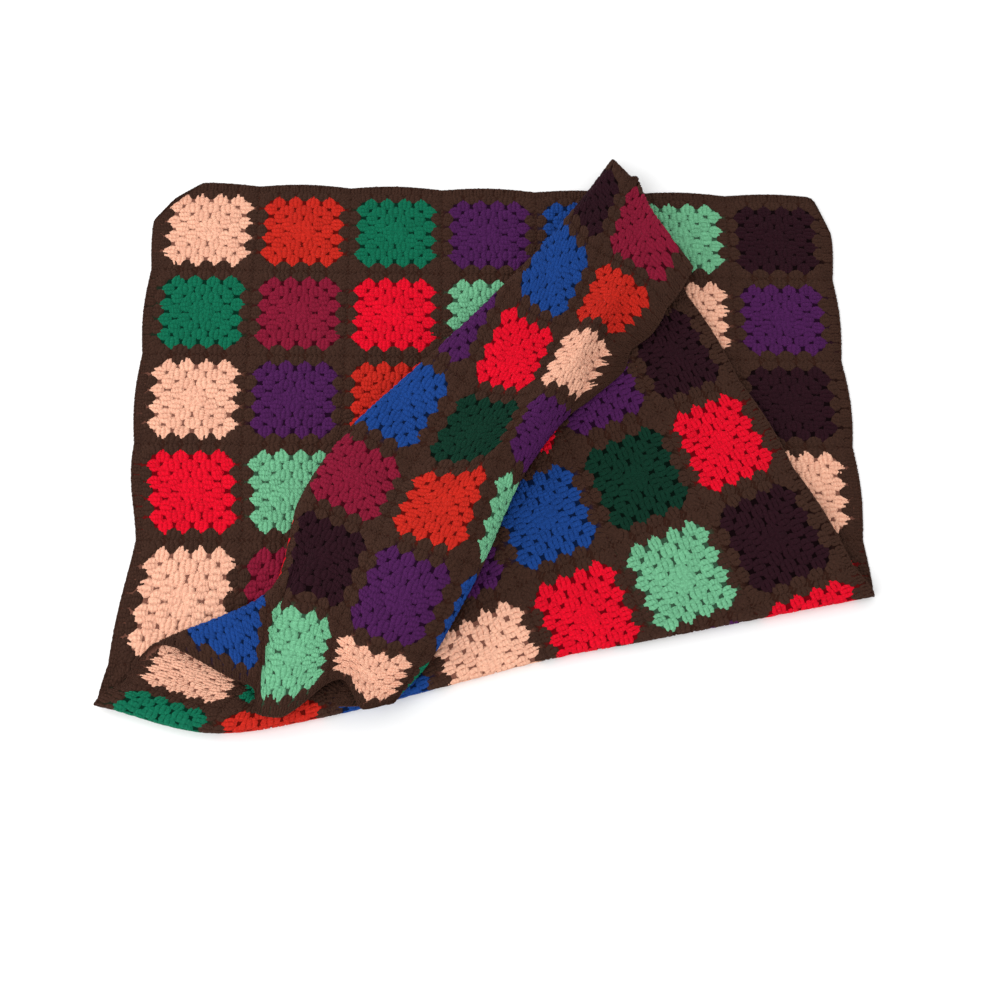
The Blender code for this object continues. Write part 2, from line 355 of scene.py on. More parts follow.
def between_lines(stations, column):
    """The stations at any column, by a smooth curve through the eight lines."""
    before = 2 * stations[:, :1] - stations[:, 1:2]
    after = 2 * stations[:, -1:] - stations[:, -2:-1]
    padded = np.concatenate([before, stations, after], axis=1)
    first = int(np.clip(math.floor(column), 0, COLUMNS - 1))
    u = column - first
    a, b, c, d = (padded[:, first + k] for k in range(4))
    return 0.5 * (
        2 * b + (c - a) * u + (2 * a - 5 * b + 4 * c - d) * u ** 2
        + (3 * b - a - 3 * c + d) * u ** 3
    )


def even_slopes(rows, places):
    """Slopes of a curve through the stations that never overshoots them."""
    step = np.diff(rows)[:, None]
    rise = np.diff(places, axis=0) / step
    slopes = np.zeros_like(places)
    slopes[0] = rise[0]
    slopes[-1] = rise[-1]
    heavy = 2 * step[1:] + step[:-1]
    light = step[1:] + 2 * step[:-1]
    same = rise[:-1] * rise[1:] > 0
    lower = np.where(same, rise[:-1], 1.0)
    upper = np.where(same, rise[1:], 1.0)
    slopes[1:-1] = np.where(same, (heavy + light) / (heavy / lower + light / upper), 0.0)
    return slopes


def along_rows(stations, rows):
    """Places of the sheet at the given rows of one column."""
    at = stations[:, 0]
    places = stations[:, 1:]
    slopes = even_slopes(at, places)
    kept = np.clip(rows, at[0], at[-1])
    k = np.clip(np.searchsorted(at, kept, side="right") - 1, 0, len(at) - 2)
    step = (at[k + 1] - at[k])[:, None]
    u = (kept - at[k])[:, None] / step
    curve = (
        (2 * u ** 3 - 3 * u ** 2 + 1) * places[k]
        + (u ** 3 - 2 * u ** 2 + u) * step * slopes[k]
        + (3 * u ** 2 - 2 * u ** 3) * places[k + 1]
        + (u ** 3 - u ** 2) * step * slopes[k + 1]
    )
    past = (rows - kept)[:, None]
    return curve + past * np.where(past < 0, slopes[0], slopes[-1])


def tuck_corner(places, rows):
    """Roll the last corner under the top layer along the tuck line.

    Next to the second turn the roll starts TUCK_EASE outside the line.
    """
    start = np.array(TUCK_FROM)
    along = unit(np.array(TUCK_TO) - start)
    normal = np.array([-along[1], along[0]])
    share = np.clip((rows - TUCK_ROWS[0]) / (TUCK_ROWS[1] - TUCK_ROWS[0]), 0, 1)
    ease = TUCK_EASE * (1 - share * share * (3 - 2 * share))
    beyond = np.maximum((places[:, :2] - start) @ normal - ease, 0)
    beyond = np.where(rows > TUCK_ROWS[0], beyond, 0)
    angle = np.minimum(beyond / TUCK_RADIUS, math.pi)
    flat = np.maximum(beyond - math.pi * TUCK_RADIUS, 0)
    reach = TUCK_RADIUS * np.sin(angle) - flat
    moved = places.copy()
    moved[:, :2] += (reach - beyond)[:, None] * normal
    moved[:, 2] -= TUCK_RADIUS * (1 - np.cos(angle))
    return moved


def draw_in_corners(places, rows):
    """Pull the far corners of the back layer in past their lines."""
    moved = places.copy()
    for first, last in CORNERS:
        along = unit(np.array(last) - np.array(first))
        normal = np.array([along[1], -along[0]])
        beyond = np.maximum((moved[:, :2] - np.array(first)) @ normal, 0)
        beyond = np.where(rows < 0.8, beyond, 0)
        moved[:, :2] -= ((1 - CORNER_KEEP) * beyond)[:, None] * normal
    return moved


def edge_reach(run):
    """How far the edging stands past the squares, in squares: a low arch on each."""
    return (EDGING + SCALLOP * abs(math.sin(math.pi * run))) / SQUARE


class Fold:
    """The folded sheet, read off a fine net of its middle surface."""

    MARGIN = 0.16
    ACROSS = 24
    DOWN = 48

    def __init__(self):
        stations = fold_stations()
        lines = round((COLUMNS + 2 * self.MARGIN) * self.ACROSS) + 1
        ranks = round((ROWS + 2 * self.MARGIN) * self.DOWN) + 1
        self.columns = np.linspace(-self.MARGIN, COLUMNS + self.MARGIN, lines)
        self.rows = np.linspace(-self.MARGIN, ROWS + self.MARGIN, ranks)
        self.net = np.array([self.line(stations, column) for column in self.columns])
        across = np.gradient(self.net, axis=0)
        down = np.gradient(self.net, axis=1)
        self.normals = unit(np.cross(down, across))
        self.origin = self.find_origin()

    def line(self, stations, column):
        """The places of every row of the net down one column line."""
        places = along_rows(between_lines(stations, column), self.rows)
        return draw_in_corners(tuck_corner(places, self.rows), self.rows)

    def find_origin(self):
        """The fold's own place of the solid's origin: the bottom centre of its box."""
        reach = round((self.MARGIN - EDGING / SQUARE) * self.ACROSS)
        kept = self.net[reach:-reach, :].reshape(-1, 3)
        low = kept.min(axis=0)
        high = kept.max(axis=0)
        return np.array([(low[0] + high[0]) / 2, (low[1] + high[1]) / 2, 0.0])

    def place(self, column, row, height):
        """Places in metres of points given by column, row and height off the sheet."""
        u = (np.clip(column, self.columns[0], self.columns[-1]) - self.columns[0]) * self.ACROSS
        v = (np.clip(row, self.rows[0], self.rows[-1]) - self.rows[0]) * self.DOWN
        i = np.clip(np.floor(u).astype(int), 0, len(self.columns) - 2)
        j = np.clip(np.floor(v).astype(int), 0, len(self.rows) - 2)
        u = (u - i)[:, None]
        v = (v - j)[:, None]

        def read(net):
            near = net[i, j] * (1 - v) + net[i, j + 1] * v
            far = net[i + 1, j] * (1 - v) + net[i + 1, j + 1] * v
            return near * (1 - u) + far * u

        places = read(self.net) + unit(read(self.normals)) * height[:, None] - self.origin
        places[:, 2] = np.maximum(places[:, 2], LEAST_HEIGHT)
        return places * MM


FOLD = Fold()


def linear(red, green, blue):
    """A screen colour, 0 to 255 each, as the light it stands for."""
    parts = [value / 255 for value in (red, green, blue)]
    return tuple(p / 12.92 if p <= 0.04045 else ((p + 0.055) / 1.055) ** 2.4 for p in parts)


class BlanketYarnColours(bpy.types.PropertyGroup):
    """Colours of the yarns."""

    pink: bpy.props.FloatVectorProperty(
        name="Pink", description="Pale salmon pink squares", subtype="COLOR",
        default=linear(252, 180, 152), min=0, max=1)
    orange: bpy.props.FloatVectorProperty(
        name="Orange", description="Orange red squares", subtype="COLOR",
        default=linear(192, 37, 25), min=0, max=1)
    emerald: bpy.props.FloatVectorProperty(
        name="Emerald", description="Emerald green squares", subtype="COLOR",
        default=linear(7, 100, 72), min=0, max=1)
    purple: bpy.props.FloatVectorProperty(
        name="Purple", description="Deep purple squares", subtype="COLOR",
        default=linear(70, 24, 76), min=0, max=1)
    aubergine: bpy.props.FloatVectorProperty(
        name="Aubergine", description="Near black aubergine squares", subtype="COLOR",
        default=linear(37, 10, 20), min=0, max=1)
    burgundy: bpy.props.FloatVectorProperty(
        name="Burgundy", description="Burgundy squares", subtype="COLOR",
        default=linear(126, 19, 46), min=0, max=1)
    red: bpy.props.FloatVectorProperty(
        name="Red", description="Bright red squares", subtype="COLOR",
        default=linear(221, 5, 36), min=0, max=1)
    mint: bpy.props.FloatVectorProperty(
        name="Mint", description="Mint green squares", subtype="COLOR",
        default=linear(108, 176, 134), min=0, max=1)
    blue: bpy.props.FloatVectorProperty(
        name="Blue", description="Royal blue squares", subtype="COLOR",
        default=linear(22, 62, 130), min=0, max=1)
    bottle: bpy.props.FloatVectorProperty(
        name="Bottle green", description="Dark bottle green squares", subtype="COLOR",
        default=linear(5, 46, 32), min=0, max=1)
    brown: bpy.props.FloatVectorProperty(
        name="Brown", description="Last rounds, joins and edging", subtype="COLOR",
        default=linear(58, 36, 27), min=0, max=1)


class BlanketStitchSizes(bpy.types.PropertyGroup):
    """Sizes of the stitches."""

    post_depth: bpy.props.FloatProperty(
        name="Post depth", description="Depth of a post against its width",
        default=0.55, min=0.3, max=1.0)
    turn_jitter: bpy.props.FloatProperty(
        name="Turn jitter", description="How far a cluster leans either way",
        default=math.radians(7), min=0, max=math.radians(30), subtype="ANGLE")
    size_jitter: bpy.props.FloatProperty(
        name="Size jitter", description="How much a cluster differs in size",
        default=0.07, min=0, max=0.3)
    seam_pitch: bpy.props.FloatProperty(
        name="Seam pitch", description="Distance from one seam stitch to the next",
        default=0.0065, min=0.003, max=0.02, unit="LENGTH")
    rim_pitch: bpy.props.FloatProperty(
        name="Rim pitch", description="Distance from one chain of the rim to the next",
        default=0.0064, min=0.003, max=0.02, unit="LENGTH")
    edging_pitch: bpy.props.FloatProperty(
        name="Edging pitch", description="Distance from one edging cluster to the next",
        default=0.0155, min=0.006, max=0.03, unit="LENGTH")
    backing_thickness: bpy.props.FloatProperty(
        name="Ground thickness", description="Thickness of the ground the stitches sit in",
        default=0.0016, min=0.0005, max=0.004, unit="LENGTH")
    seed: bpy.props.IntProperty(
        name="Seed", description="Picks the small differences between stitches",
        default=7, min=0)


class BlanketStudioSettings(bpy.types.PropertyGroup):
    """Camera and lights."""

    camera_distance: bpy.props.FloatProperty(
        name="Camera distance", description="From the camera to the blanket",
        default=1.9, min=0.5, max=10, unit="LENGTH")
    camera_elevation: bpy.props.FloatProperty(
        name="Camera elevation", description="How steeply the camera looks down",
        default=math.radians(68), min=0, max=math.radians(90), subtype="ANGLE")
    lens: bpy.props.FloatProperty(
        name="Lens", description="Focal length of the camera",
        default=50.4, min=10, max=200, unit="CAMERA")
    key_power: bpy.props.FloatProperty(
        name="Key power", description="Power of the large soft light in watts",
        default=26.0, min=0)
    side_power: bpy.props.FloatProperty(
        name="Side power", description="Power of the low side light in watts",
        default=9.0, min=0)
    sky: bpy.props.FloatProperty(
        name="Sky", description="Strength of the even light all round",
        default=1.0, min=0, max=5)


def mesh_object(name, mesh):
    """An object for a mesh, a light or a camera, in the scene."""
    piece = bpy.data.objects.new(name, mesh)
    bpy.context.scene.collection.objects.link(piece)
    return piece


def finish_piece(piece):
    """What every piece needs: it is attached to the root body."""
    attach(piece, "root")
    return piece


def add_tube(shape, strand, path, depth, mirror=1):
    """A closed tube through the knots of a path, with its length and girth as UV."""
    rings = []
    lengths = [0.0]
    for before, after in zip(path, path[1:]):
        step = math.hypot(after.across - before.across, after.along - before.along)
        lengths.append(lengths[-1] + step)
    for number, knot in enumerate(path):
        before = path[max(number - 1, 0)]
        after = path[min(number + 1, len(path) - 1)]
        along = Vector((mirror * (after.across - before.across), after.along - before.along, 0))
        side = Vector((along.y, -along.x, 0)).normalized()
        centre = Vector((mirror * knot.across, knot.along, 0))
        ring = []
        for k in range(STRAND_SIDES):
            angle = 2 * math.pi * k / STRAND_SIDES + math.pi / 2
            swing = side * math.cos(angle) * knot.half
            rise = Vector((0, 0, math.sin(angle) * knot.half * depth))
            ring.append(shape.verts.new(centre + swing + rise))
        rings.append(ring)
    for number in range(len(rings) - 1):
        for k in range(STRAND_SIDES):
            after = (k + 1) % STRAND_SIDES
            near, far = rings[number], rings[number + 1]
            face = shape.faces.new((near[k], near[after], far[after], far[k]))
            face.smooth = True
            corners = ((number, k), (number, k + 1), (number + 1, k + 1), (number + 1, k))
            for loop, (ring, turn) in zip(face.loops, corners):
                loop[strand].uv = (lengths[ring], turn / STRAND_SIDES)
    for ring in (rings[0][::-1], rings[-1]):
        face = shape.faces.new(ring)
        face.smooth = True


def stitch_mesh(name, tubes, depth):
    """The small mesh that a stitch or cluster is repeated from, in millimetres."""
    mesh = bpy.data.meshes.new(name)
    shape = bmesh.new()
    strand = shape.loops.layers.uv.new("strand")
    for path, mirror in tubes:
        add_tube(shape, strand, path, depth, mirror)
    bmesh.ops.recalc_face_normals(shape, faces=shape.faces)
    bmesh.ops.triangulate(shape, faces=shape.faces)
    shape.to_mesh(mesh)
    shape.free()
    return mesh


def cluster_mesh(sizes):
    """Three posts side by side, worked into one place."""
    tubes = ((MIDDLE_POST, 1), (SIDE_POST, 1), (SIDE_POST, -1))
    return stitch_mesh("cluster", tubes, sizes.post_depth)


def repeat_tree(material):
    """Repeats one stitch on every point: Turn, Width and Length are read from the points."""
    tree = bpy.data.node_groups.new("repeat_stitch", "GeometryNodeTree")
    tree.is_modifier = True
    inputs = (
        ("Geometry", "NodeSocketGeometry"), ("Stitch", "NodeSocketObject"),
        ("Turn jitter", "NodeSocketFloat"), ("Size jitter", "NodeSocketFloat"),
        ("Seed", "NodeSocketInt"),
    )
    for label, kind in inputs:
        tree.interface.new_socket(name=label, in_out="INPUT", socket_type=kind)
    tree.interface.new_socket(name="Geometry", in_out="OUTPUT", socket_type="NodeSocketGeometry")
    nodes = tree.nodes
    link = tree.links.new
    start = nodes.new("NodeGroupInput")
    end = nodes.new("NodeGroupOutput")

    def read(label):
        node = nodes.new("GeometryNodeInputNamedAttribute")
        node.data_type = "FLOAT"
        node.inputs["Name"].default_value = label
        return node.outputs["Attribute"]

    def chance(offset, low, high):
        """An even random number, with its own seed."""
        seed = nodes.new("ShaderNodeMath")
        seed.operation = "ADD"
        seed.inputs[1].default_value = offset
        link(start.outputs["Seed"], seed.inputs[0])
        node = nodes.new("FunctionNodeRandomValue")
        node.data_type = "FLOAT"
        node.inputs[2].default_value = low
        node.inputs[3].default_value = high
        link(seed.outputs[0], node.inputs["Seed"])
        return node.outputs[1]

    def maths(operation, first, second, third=None):
        node = nodes.new("ShaderNodeMath")
        node.operation = operation
        for socket, value in zip(node.inputs, (first, second, third)):
            if isinstance(value, (int, float)):
                socket.default_value = value
            elif value is not None:
                link(value, socket)
        return node.outputs[0]

    turn = maths("MULTIPLY_ADD", chance(1, -1.0, 1.0), start.outputs["Turn jitter"], read("turn"))
    euler = nodes.new("ShaderNodeCombineXYZ")
    link(turn, euler.inputs["Z"])
    rotation = nodes.new("FunctionNodeEulerToRotation")
    link(euler.outputs[0], rotation.inputs[0])
    scale = nodes.new("ShaderNodeCombineXYZ")
    jitter = start.outputs["Size jitter"]
    wide = maths("MULTIPLY_ADD", chance(2, -1.0, 1.0), jitter, 1.0)
    long = maths("MULTIPLY_ADD", chance(3, -1.0, 1.0), jitter, 1.0)
    deep = maths("MULTIPLY_ADD", chance(4, -1.0, 1.0), jitter, 1.0)
    link(maths("MULTIPLY", wide, read("width")), scale.inputs["X"])
    link(maths("MULTIPLY", long, read("length")), scale.inputs["Y"])
    link(deep, scale.inputs["Z"])

    stitch = nodes.new("GeometryNodeObjectInfo")
    stitch.transform_space = "ORIGINAL"
    stitch.inputs["As Instance"].default_value = True
    link(start.outputs["Stitch"], stitch.inputs["Object"])
    repeat = nodes.new("GeometryNodeInstanceOnPoints")
    link(start.outputs["Geometry"], repeat.inputs["Points"])
    link(stitch.outputs["Geometry"], repeat.inputs["Instance"])
    link(rotation.outputs[0], repeat.inputs["Rotation"])
    link(scale.outputs[0], repeat.inputs["Scale"])
    tone = nodes.new("GeometryNodeStoreNamedAttribute")
    tone.data_type = "FLOAT"
    tone.domain = "INSTANCE"
    tone.inputs["Name"].default_value = "tone"
    link(chance(5, 0.0, 1.0), tone.inputs["Value"])
    link(repeat.outputs["Instances"], tone.inputs["Geometry"])
    real = nodes.new("GeometryNodeRealizeInstances")
    link(tone.outputs["Geometry"], real.inputs["Geometry"])
    finish = nodes.new("GeometryNodeSetMaterial")
    finish.inputs["Material"].default_value = material
    link(real.outputs["Geometry"], finish.inputs["Geometry"])
    link(finish.outputs["Geometry"], end.inputs["Geometry"])
    return tree


def repeat_stitches(name, stitch, points, material):
    """Works a stitch at every flat point and lays the result on the folded sheet.

    Points are rows of across, down, turn, width and length, in millimetres.
    """
    sizes = bpy.context.scene.blanket_sizes
    points = np.array(points)
    flat = bpy.data.meshes.new(name + "_points")
    spots = np.column_stack([points[:, 0], -points[:, 1], np.zeros(len(points))])
    flat.from_pydata(spots.tolist(), [], [])
    for label, values in zip(("turn", "width", "length"), points[:, 2:].T):
        layer = flat.attributes.new(label, "FLOAT", "POINT")
        layer.data.foreach_set("value", values.astype(np.float32))
    holder = mesh_object(name + "_points", flat)
    sample = mesh_object(name + "_sample", stitch)

    tree = repeat_tree(material)
    modifier = holder.modifiers.new("stitches", "NODES")
    modifier.node_group = tree
    values = {
        "Stitch": sample,
        "Turn jitter": sizes.turn_jitter,
        "Size jitter": sizes.size_jitter,
        "Seed": sizes.seed,
    }
    for socket in tree.interface.items_tree:
        if socket.in_out == "INPUT" and socket.name in values:
            modifier[socket.identifier] = values[socket.name]
    view = bpy.context.evaluated_depsgraph_get()
    mesh = bpy.data.meshes.new_from_object(holder.evaluated_get(view), depsgraph=view)
    if not mesh.polygons:
        raise RuntimeError(f"{name}: no stitches were made")
    mesh.name = name

    co = np.empty(len(mesh.vertices) * 3, dtype=np.float32)
    mesh.vertices.foreach_get("co", co)
    co = co.reshape(-1, 3).astype(float)
    placed = FOLD.place(co[:, 0] / SQUARE, -co[:, 1] / SQUARE, co[:, 2])
    mesh.vertices.foreach_set("co", placed.astype(np.float32).ravel())
    mesh.update()
    bpy.data.objects.remove(holder, do_unlink=True)
    bpy.data.objects.remove(sample, do_unlink=True)
    return finish_piece(mesh_object(name, mesh))


def square_yarn(column, row):
    """The name of the yarn that a square is worked in."""
    return SQUARES[row].split()[column]


def round_points(column, row, work, size=1.0):
    """Clusters of one round of one square, which a thicker yarn makes a little bigger."""
    points = []
    middle = np.array([column + 0.5, row + 0.5]) * SQUARE
    for side in range(4):
        angle = side * math.pi / 2
        spin = np.array([[math.cos(angle), -math.sin(angle)], [math.sin(angle), math.cos(angle)]])
        for k in range(work.clusters):
            share = k - (work.clusters - 1) / 2
            lean = 0.0
            if work is BROWN_ROUND:
                lean = CORNER_LEAN * share / 2
            start = size * np.array([share * CLUSTER_PITCH, -work.base])
            end = size * np.array([share * CLUSTER_PITCH + lean, -work.top])
            width = work.width * size
            points.append(cluster_point(middle + spin @ start, middle + spin @ end, width))
        if work is BROWN_ROUND:
            start = np.array([work.base, -work.base])
            end = np.array([work.top - CORNER_INSET, CORNER_INSET - work.top])
            points.append(cluster_point(middle + spin @ start, middle + spin @ end, CORNER_WIDTH))
    return points


def cluster_point(start, end, width):
    """Where a cluster starts, its turn, its width and its length against the drawn one."""
    way = end - start
    turn = math.atan2(-way[1], way[0]) - math.pi / 2
    return (start[0], start[1], turn, width, math.hypot(*way) / CLUSTER_LENGTH)


def border_walk(pitch, inset):
    """Places round the free border, as (start, end) pairs of the short run there."""
    spots = []
    for side, squares in ((0, COLUMNS), (1, ROWS), (2, COLUMNS), (3, ROWS)):
        count = round(squares * SQUARE / pitch)
        for k in range(count):
            run = (k + 0.5) / count * squares
            reach = edge_reach(run) - inset / SQUARE
            spots.append({
                0: ((run, 0.0), (run, -reach)),
                1: ((COLUMNS, run), (COLUMNS + reach, run)),
                2: ((COLUMNS - run, ROWS), (COLUMNS - run, ROWS + reach)),
                3: ((0.0, ROWS - run), (-reach, ROWS - run)),
            }[side])
    return spots


def mixed(nodes, link, factor, first, second):
    """A mix of two colours, each a socket or a plain colour."""
    node = nodes.new("ShaderNodeMix")
    node.data_type = "RGBA"
    sockets = (node.inputs["Factor"], node.inputs[6], node.inputs[7])
    for socket, value in zip(sockets, (factor, first, second)):
        if isinstance(value, (float, tuple)):
            socket.default_value = value
        else:
            link(value, socket)
    return node.outputs[2]


def shaded(colour, factor):
    """A lighter or darker shade of a colour, with its alpha."""
    return tuple(min(1.0, c * factor) for c in colour[:3]) + (1.0,)


def yarn_material(name, colour):
    """Soft wool: twisted plies with painted shade in their grooves and painted highlights on their
    tops, a fuzz of fine fibres and a tone of its own per cluster.
    """
    material = bpy.data.materials.new(name)
    material.use_nodes = True
    nodes = material.node_tree.nodes
    link = material.node_tree.links.new
    shader = nodes["Principled BSDF"]

    place = nodes.new("ShaderNodeTexCoord")
    fuzz = nodes.new("ShaderNodeTexNoise")
    fuzz.inputs["Scale"].default_value = 360.0
    fuzz.inputs["Detail"].default_value = 3.0
    fuzz.inputs["Roughness"].default_value = 0.7
    link(place.outputs["Object"], fuzz.inputs["Vector"])
    patch = nodes.new("ShaderNodeTexNoise")
    patch.inputs["Scale"].default_value = 45.0
    patch.inputs["Detail"].default_value = 2.0
    link(place.outputs["Object"], patch.inputs["Vector"])
    tone = nodes.new("ShaderNodeAttribute")
    tone.attribute_name = "tone"
    strand = nodes.new("ShaderNodeUVMap")
    strand.uv_map = "strand"
    parts = nodes.new("ShaderNodeSeparateXYZ")
    link(strand.outputs["UV"], parts.inputs[0])

    def maths(operation, first, second):
        node = nodes.new("ShaderNodeMath")
        node.operation = operation
        for socket, value in zip(node.inputs, (first, second)):
            if isinstance(value, float):
                socket.default_value = value
            else:
                link(value, socket)
        return node.outputs[0]

    along = maths("MULTIPLY", parts.outputs["X"], 2 * math.pi / PLY_LENGTH)
    start = maths("MULTIPLY", tone.outputs["Fac"], 4 * math.pi)
    along = maths("ADD", along, start)
    around = maths("MULTIPLY", parts.outputs["Y"], 2 * math.pi * PLIES)
    waver = maths("MULTIPLY", patch.outputs["Fac"], 14.0)
    wave = maths("SINE", maths("ADD", maths("ADD", along, around), waver), 0.0)
    ply = maths("MULTIPLY", maths("ADD", wave, 1.0), 0.5)
    spread = nodes.new("ShaderNodeMapRange")
    spread.inputs["From Min"].default_value = 0.35
    spread.inputs["From Max"].default_value = 0.68
    link(fuzz.outputs["Fac"], spread.inputs["Value"])
    base = mixed(nodes, link, spread.outputs["Result"], shaded(colour, 0.52), shaded(colour, 1.42))
    # Painted shade in the grooves between the plies and painted highlights on their tops.
    painted_ply_shade = mixed(nodes, link, ply, shaded(colour, 0.62), shaded(colour, 1.22))
    fuzz_and_ply_shade = mixed(nodes, link, 0.35, base, painted_ply_shade)
    worn = mixed(nodes, link, patch.outputs["Fac"], shaded(colour, 0.78), shaded(colour, 1.15))
    patched = mixed(nodes, link, 0.25, fuzz_and_ply_shade, worn)
    toned = mixed(nodes, link, tone.outputs["Fac"], shaded(colour, 0.80), shaded(colour, 1.15))
    link(mixed(nodes, link, 0.30, patched, toned), shader.inputs["Base Color"])

    height = nodes.new("ShaderNodeMath")
    height.operation = "MULTIPLY_ADD"
    height.inputs[1].default_value = 0.6
    link(ply, height.inputs[0])
    link(fuzz.outputs["Fac"], height.inputs[2])
    bump = nodes.new("ShaderNodeBump")
    bump.inputs["Strength"].default_value = 0.75
    bump.inputs["Distance"].default_value = 0.0022
    link(height.outputs[0], bump.inputs["Height"])
    link(bump.outputs["Normal"], shader.inputs["Normal"])
    shader.inputs["Roughness"].default_value = 0.92
    shader.inputs["Specular IOR Level"].default_value = 0.12
    shader.inputs["Sheen Weight"].default_value = 0.22
    shader.inputs["Sheen Roughness"].default_value = 0.45
    shader.inputs["Sheen Tint"].default_value = shaded(colour, 1.0 / max(max(colour), 0.2))
    return material


def ground_material():
    """The ground under the stitches: each square's own yarn darkened as painted shade for the gaps
    between the stitches.
    """
    material = bpy.data.materials.new("yarn_ground")
    material.use_nodes = True
    nodes = material.node_tree.nodes
    link = material.node_tree.links.new
    shader = nodes["Principled BSDF"]
    colour = nodes.new("ShaderNodeAttribute")
    colour.attribute_name = "yarn_colour"
    place = nodes.new("ShaderNodeTexCoord")
    fuzz = nodes.new("ShaderNodeTexNoise")
    fuzz.inputs["Scale"].default_value = 420.0
    fuzz.inputs["Detail"].default_value = 3.0
    link(place.outputs["Object"], fuzz.inputs["Vector"])
    # Painted shade: the yarn colour is darkened to stand for the shade in the gaps between the
    # stitches.
    deep = nodes.new("ShaderNodeMix")
    deep.data_type = "RGBA"
    deep.blend_type = "MULTIPLY"
    deep.inputs["Factor"].default_value = 1.0
    link(colour.outputs["Color"], deep.inputs[6])
    painted_gap_shade = mixed(nodes, link, fuzz.outputs["Fac"], (0.05, 0.04, 0.04, 1.0), (0.30, 0.26, 0.26, 1.0))
    link(painted_gap_shade, deep.inputs[7])
    link(deep.outputs[2], shader.inputs["Base Color"])
    bump = nodes.new("ShaderNodeBump")
    bump.inputs["Strength"].default_value = 0.6
    bump.inputs["Distance"].default_value = 0.001
    link(fuzz.outputs["Fac"], bump.inputs["Height"])
    link(bump.outputs["Normal"], shader.inputs["Normal"])
    shader.inputs["Roughness"].default_value = 0.95
    shader.inputs["Specular IOR Level"].default_value = 0.05
    return material


def ground_mesh(name, sizes, colours):
    """A thin sheet with an arched border, over the whole blanket."""
    across = np.linspace(0, COLUMNS, COLUMNS * GROUND_ACROSS + 1)
    down = np.linspace(0, ROWS, ROWS * GROUND_DOWN + 1)
    column, row = np.meshgrid(across, down, indexing="ij")
    reach_top = np.array([edge_reach(c) for c in across])
    reach_side = np.array([edge_reach(r) for r in down])
    row[:, 0] -= reach_top
    row[:, -1] += reach_top
    column[0, :] -= reach_side
    column[-1, :] += reach_side
    half = sizes.backing_thickness / MM / 2
    flat = np.full(column.size, half)
    face = FOLD.place(column.ravel(), row.ravel(), flat)
    back = FOLD.place(column.ravel(), row.ravel(), -flat)
    lines, ranks = column.shape
    shift = column.size
    faces = []
    for i in range(lines - 1):
        for j in range(ranks - 1):
            quad = (i * ranks + j, i * ranks + j + 1, (i + 1) * ranks + j + 1, (i + 1) * ranks + j)
            faces.append(quad)
            faces.append(tuple(v + shift for v in reversed(quad)))
    rim = [i * ranks for i in range(lines)]
    rim += [(lines - 1) * ranks + j for j in range(1, ranks)]
    rim += [i * ranks + ranks - 1 for i in range(lines - 2, -1, -1)]
    rim += [j for j in range(ranks - 2, 0, -1)]
    for a, b in zip(rim, rim[1:] + rim[:1]):
        faces.append((a, b, b + shift, a + shift))
    mesh = bpy.data.meshes.new(name)
    mesh.from_pydata(np.concatenate([face, back]).tolist(), [], faces)
    # Base colours for the ground's painted shade: the square's yarn inside its coloured rounds, the
    # lightened brown outside them.
    layer = mesh.attributes.new("yarn_colour", "FLOAT_COLOR", "POINT")
    tips = COLOURED_ROUNDS[-1].top / SQUARE
    brown = BROWN_GROUND * np.array(colours.brown)
    values = np.empty((column.size, 4), dtype=np.float32)
    for n, (c, r) in enumerate(zip(column.ravel(), row.ravel())):
        i = min(max(int(c), 0), COLUMNS - 1)
        j = min(max(int(r), 0), ROWS - 1)
        inside = max(abs(c - i - 0.5), abs(r - j - 0.5)) < tips
        values[n, :3] = getattr(colours, square_yarn(i, j)) if inside else brown
        values[n, 3] = 1.0
    layer.data.foreach_set("color", np.concatenate([values, values]).ravel())
    shape = bmesh.new()
    shape.from_mesh(mesh)
    bmesh.ops.recalc_face_normals(shape, faces=shape.faces)
    shape.to_mesh(mesh)
    shape.free()
    mesh.shade_smooth()
    return mesh


class BlanketMakeGround(bpy.types.Operator):
    """Make the thin ground sheet that all the stitches sit in"""

    bl_idname = "blanket.make_ground"
    bl_label = "Ground sheet"

    def execute(self, context):
        mesh = ground_mesh("ground", context.scene.blanket_sizes, context.scene.blanket_colours)
        mesh.materials.append(ground_material())
        piece = finish_piece(mesh_object("ground", mesh))
        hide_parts("blanket")
        return {"FINISHED"}


class BlanketMakeSquares(bpy.types.Operator):
    """Work the coloured rounds of all the squares, one piece for each yarn"""

    bl_idname = "blanket.make_squares"
    bl_label = "Coloured squares"

    def execute(self, context):
        scene = context.scene
        for yarn in YARNS:
            points = []
            for row in range(ROWS):
                for column in range(COLUMNS):
                    if square_yarn(column, row) == yarn:
                        for work in COLOURED_ROUNDS:
                            size = YARN_SIZE.get(yarn, PLAIN_SIZE)
                            points += round_points(column, row, work, size)
            material = yarn_material("yarn_" + yarn, getattr(scene.blanket_colours, yarn))
            cluster = cluster_mesh(scene.blanket_sizes)
            repeat_stitches("squares_" + yarn, cluster, points, material)
        return {"FINISHED"}


